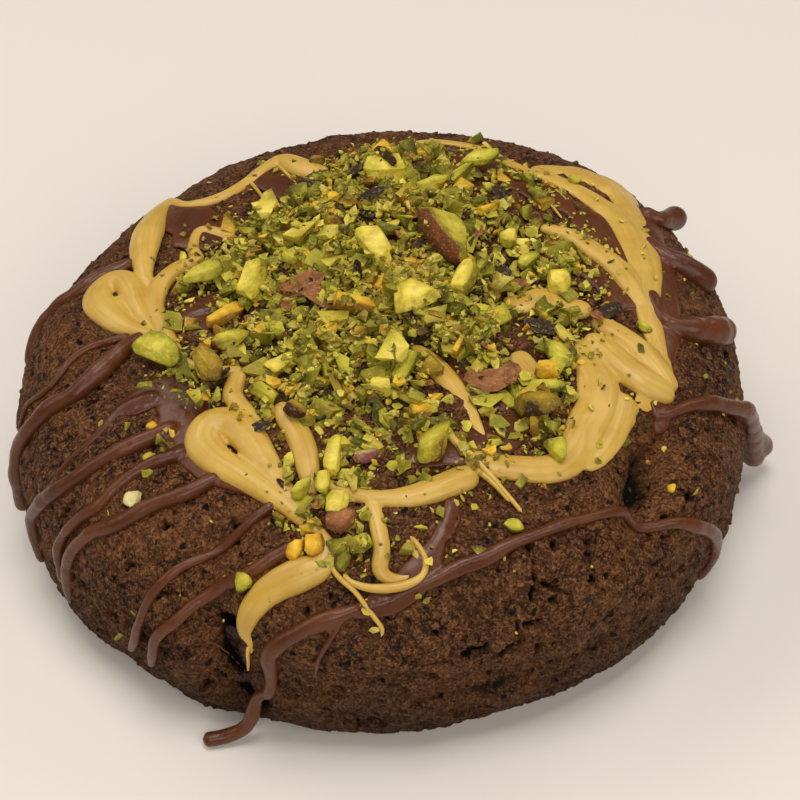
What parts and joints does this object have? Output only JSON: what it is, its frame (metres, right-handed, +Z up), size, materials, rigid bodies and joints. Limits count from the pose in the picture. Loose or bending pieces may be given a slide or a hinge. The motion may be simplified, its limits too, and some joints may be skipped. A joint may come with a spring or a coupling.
{
  "type": "pistachio cookie",
  "caption": "Thick round baked chocolate cookie with a domed crown, chocolate drizzle, looping pistachio cream and a heap of chopped pistachios on top.",
  "frame": {"origin": "centre of the flat underside, on the surface that the cookie rests on", "axes": "+Z up through the crown, +Y to the back, +X to the right as pictured"},
  "size_m": [0.1233, 0.1224, 0.0442],
  "materials": {
    "crust": "matte, porous baked chocolate crust",
    "chocolate": "satin set milk chocolate",
    "cream": "soft satin set cream",
    "nuts": "matte cut nut crumbs",
    "kernel": "matte to satin cut nut faces"
  },
  "bodies": {
    "root": {"cookie": "crust", "pistachio_cream": "cream", "chopped_pistachios": "nuts", "pistachio_piece_01": "kernel", "pistachio_piece_02": "kernel", "pistachio_piece_03": "kernel", "pistachio_piece_04": "kernel", "pistachio_piece_05": "kernel", "pistachio_piece_06": "kernel", "pistachio_piece_07": "kernel", "pistachio_piece_08": "kernel", "pistachio_piece_09": "kernel", "pistachio_piece_10": "kernel", "pistachio_piece_11": "kernel", "pistachio_piece_12": "kernel", "pistachio_piece_13": "kernel", "pistachio_piece_14": "kernel"}
  },
  "joints": []
}
